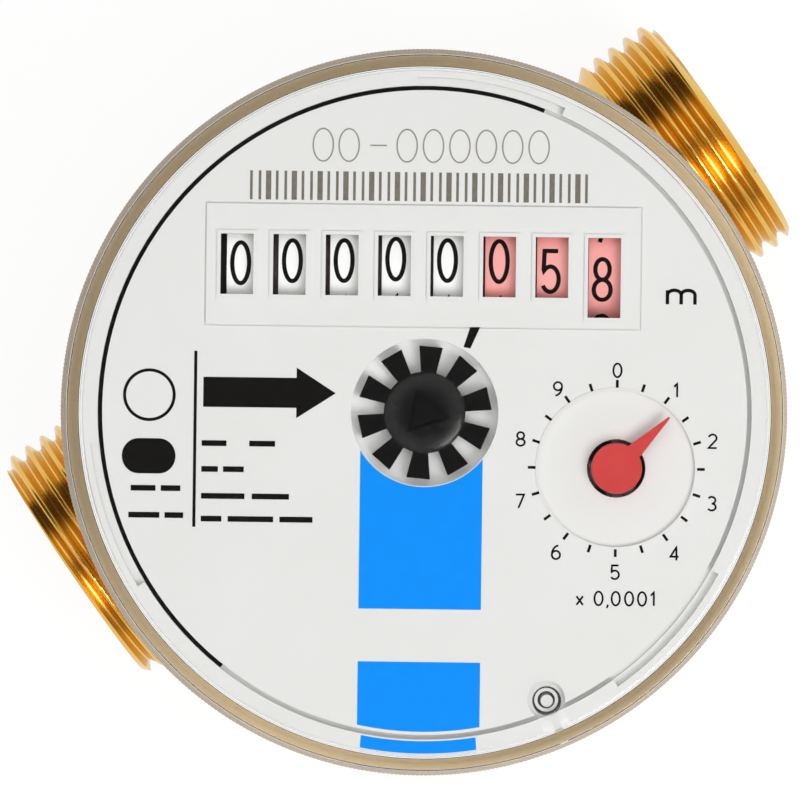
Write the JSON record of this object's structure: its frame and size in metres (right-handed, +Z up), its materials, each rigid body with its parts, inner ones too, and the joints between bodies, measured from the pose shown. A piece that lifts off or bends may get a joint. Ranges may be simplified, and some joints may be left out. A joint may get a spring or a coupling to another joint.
{
  "type": "water meter",
  "caption": "Single-jet domestic water meter: brass body with threaded ends, an impeller, a magnetic coupling and a turning dry register with number wheels, star wheel and pointer.",
  "frame": {"origin": "where the impeller axis meets the flat base", "axes": "+X along the pipe towards the outlet, +Z up the impeller axis, +Y towards the side the pipe axis is offset to"},
  "size_m": [0.08, 0.0722, 0.0655],
  "materials": {
    "brass": "turned and cast",
    "cream_plastic": "moulded",
    "bearing_steel": "ground",
    "black_moulding": "moulded",
    "seal_rubber": "matte",
    "shield_steel": "plated",
    "beige_plastic": "moulded with fine ribs",
    "impeller_plastic": "moulded",
    "spindle_steel": "ground",
    "magnet": "sintered",
    "white_plastic": "moulded",
    "pink_plastic": "moulded",
    "grey_plastic": "moulded",
    "clear_plastic": "polished",
    "black_plastic": "polished",
    "red_plastic": "moulded",
    "gear_plastic": "moulded"
  },
  "bodies": {
    "meter_body": {"brass_body": "brass", "inlet_strainer": "cream_plastic", "lower_bearing": "bearing_steel", "separator_plate": "black_moulding", "separator_seal": "seal_rubber", "upper_bearing": "bearing_steel", "retaining_ring": "brass", "magnet_shield": "shield_steel", "lock_ring": "beige_plastic"},
    "impeller_unit": {"impeller": "impeller_plastic", "impeller_spindle": "spindle_steel", "impeller_magnet": "magnet"},
    "register": {"register_housing": "white_plastic", "counter_frame": "grey_plastic", "pinion_shaft": "spindle_steel", "gear_bridge": "grey_plastic", "bridge_screws": "spindle_steel", "dial_plate": "white_plastic", "clear_cover": "clear_plastic"},
    "star_unit": {"star_wheel": "black_plastic", "follower_spindle": "spindle_steel", "follower_carrier": "gear_plastic", "follower_magnet": "magnet", "star_pinion": "gear_plastic"},
    "idler_unit": {"idler_arbor": "spindle_steel", "idler_wheel": "gear_plastic"},
    "pointer_unit": {"pointer": "red_plastic", "pointer_arbor": "spindle_steel", "pointer_wheel": "gear_plastic", "drive_wheel": "gear_plastic"},
    "worm_unit": {"worm_arbor": "spindle_steel", "worm": "gear_plastic", "worm_pinion": "gear_plastic"},
    "wheel_1": {"number_wheel_1": "white_plastic"},
    "wheel_2": {"number_wheel_2": "white_plastic"},
    "wheel_3": {"number_wheel_3": "white_plastic"},
    "wheel_4": {"number_wheel_4": "white_plastic"},
    "wheel_5": {"number_wheel_5": "white_plastic"},
    "wheel_6": {"number_wheel_6": "pink_plastic"},
    "wheel_7": {"number_wheel_7": "pink_plastic"},
    "wheel_8": {"number_wheel_8": "pink_plastic", "counter_shaft": "spindle_steel", "worm_wheel": "gear_plastic"},
    "pinion_1": {"transfer_pinion_1": "gear_plastic"},
    "pinion_2": {"transfer_pinion_2": "gear_plastic"},
    "pinion_3": {"transfer_pinion_3": "gear_plastic"},
    "pinion_4": {"transfer_pinion_4": "gear_plastic"},
    "pinion_5": {"transfer_pinion_5": "gear_plastic"},
    "pinion_6": {"transfer_pinion_6": "gear_plastic"},
    "pinion_7": {"transfer_pinion_7": "gear_plastic"}
  },
  "joints": [
    {"name": "impeller_spin", "type": "hinge", "parent": "meter_body", "child": "impeller_unit", "pos_m": [0, 0, 0.0155], "axis": [0, 0, -1], "continuous": true},
    {"name": "register_swivel", "type": "hinge", "parent": "meter_body", "child": "register", "pos_m": [0, 0, 0.0365], "axis": [0, 0, 1], "range_deg": [-175, 175]},
    {"name": "star_spin", "type": "hinge", "parent": "register", "child": "star_unit", "pos_m": [0, 0, 0.0585], "axis": [0, 0, -1], "continuous": true},
    {"name": "idler_spin", "type": "hinge", "parent": "register", "child": "idler_unit", "pos_m": [0.00078, -0.01047, 0.043], "axis": [0, 0, -1], "continuous": true},
    {"name": "pointer_spin", "type": "hinge", "parent": "register", "child": "pointer_unit", "pos_m": [0.01225, -0.01489, 0.06], "axis": [0, 0, -1], "continuous": true},
    {"name": "worm_spin", "type": "hinge", "parent": "register", "child": "worm_unit", "pos_m": [0.02345, -0.00598, 0.0498], "axis": [0, 0, -1], "continuous": true},
    {"name": "wheel_8_spin", "type": "hinge", "parent": "register", "child": "wheel_8", "pos_m": [0.02245, 0.00155, 0.0498], "axis": [-0.8192, 0.5736, 0], "continuous": true},
    {"name": "wheel_7_spin", "type": "hinge", "parent": "register", "child": "wheel_7", "pos_m": [0.01836, 0.00442, 0.0498], "axis": [-0.8192, 0.5736, 0], "continuous": true},
    {"name": "wheel_6_spin", "type": "hinge", "parent": "register", "child": "wheel_6", "pos_m": [0.01426, 0.00729, 0.0498], "axis": [-0.8192, 0.5736, 0], "continuous": true},
    {"name": "wheel_5_spin", "type": "hinge", "parent": "register", "child": "wheel_5", "pos_m": [0.01016, 0.01016, 0.0498], "axis": [-0.8192, 0.5736, 0], "continuous": true},
    {"name": "wheel_4_spin", "type": "hinge", "parent": "register", "child": "wheel_4", "pos_m": [0.00607, 0.01302, 0.0498], "axis": [-0.8192, 0.5736, 0], "continuous": true},
    {"name": "wheel_3_spin", "type": "hinge", "parent": "register", "child": "wheel_3", "pos_m": [0.00197, 0.01589, 0.0498], "axis": [-0.8192, 0.5736, 0], "continuous": true},
    {"name": "wheel_2_spin", "type": "hinge", "parent": "register", "child": "wheel_2", "pos_m": [-0.00212, 0.01876, 0.0498], "axis": [-0.8192, 0.5736, 0], "continuous": true},
    {"name": "wheel_1_spin", "type": "hinge", "parent": "register", "child": "wheel_1", "pos_m": [-0.00622, 0.02163, 0.0498], "axis": [-0.8192, 0.5736, 0], "continuous": true},
    {"name": "pinion_7_spin", "type": "hinge", "parent": "register", "child": "pinion_7", "pos_m": [0.02449, 0.00883, 0.04267], "axis": [-0.8192, 0.5736, 0], "continuous": true},
    {"name": "pinion_6_spin", "type": "hinge", "parent": "register", "child": "pinion_6", "pos_m": [0.0204, 0.01169, 0.04267], "axis": [-0.8192, 0.5736, 0], "continuous": true},
    {"name": "pinion_5_spin", "type": "hinge", "parent": "register", "child": "pinion_5", "pos_m": [0.0163, 0.01456, 0.04267], "axis": [-0.8192, 0.5736, 0], "continuous": true},
    {"name": "pinion_4_spin", "type": "hinge", "parent": "register", "child": "pinion_4", "pos_m": [0.0122, 0.01743, 0.04267], "axis": [-0.8192, 0.5736, 0], "continuous": true},
    {"name": "pinion_3_spin", "type": "hinge", "parent": "register", "child": "pinion_3", "pos_m": [0.00811, 0.0203, 0.04267], "axis": [-0.8192, 0.5736, 0], "continuous": true},
    {"name": "pinion_2_spin", "type": "hinge", "parent": "register", "child": "pinion_2", "pos_m": [0.00401, 0.02317, 0.04267], "axis": [-0.8192, 0.5736, 0], "continuous": true},
    {"name": "pinion_1_spin", "type": "hinge", "parent": "register", "child": "pinion_1", "pos_m": [-0.00008, 0.02603, 0.04267], "axis": [-0.8192, 0.5736, 0], "continuous": true}
  ],
  "couplings": [
    {"joint": "star_spin", "follows": "impeller_spin", "ratio": 1},
    {"joint": "idler_spin", "follows": "impeller_spin", "ratio": -0.16667},
    {"joint": "pointer_spin", "follows": "impeller_spin", "ratio": 0.023148},
    {"joint": "worm_spin", "follows": "impeller_spin", "ratio": -0.046296},
    {"joint": "wheel_8_spin", "follows": "impeller_spin", "ratio": 0.0023148},
    {"joint": "wheel_7_spin", "follows": "impeller_spin", "ratio": 0.00023148},
    {"joint": "wheel_6_spin", "follows": "impeller_spin", "ratio": 0.000023148},
    {"joint": "wheel_5_spin", "follows": "impeller_spin", "ratio": 0.0000023148},
    {"joint": "wheel_4_spin", "follows": "impeller_spin", "ratio": 0.00000023148},
    {"joint": "wheel_3_spin", "follows": "impeller_spin", "ratio": 0.000000023148},
    {"joint": "wheel_2_spin", "follows": "impeller_spin", "ratio": 0.0000000023148},
    {"joint": "wheel_1_spin", "follows": "impeller_spin", "ratio": 0.00000000023148},
    {"joint": "pinion_7_spin", "follows": "impeller_spin", "ratio": -0.0005787},
    {"joint": "pinion_6_spin", "follows": "impeller_spin", "ratio": -0.00005787},
    {"joint": "pinion_5_spin", "follows": "impeller_spin", "ratio": -0.000005787},
    {"joint": "pinion_4_spin", "follows": "impeller_spin", "ratio": -0.0000005787},
    {"joint": "pinion_3_spin", "follows": "impeller_spin", "ratio": -0.00000005787},
    {"joint": "pinion_2_spin", "follows": "impeller_spin", "ratio": -0.000000005787},
    {"joint": "pinion_1_spin", "follows": "impeller_spin", "ratio": -0.0000000005787}
  ]
}
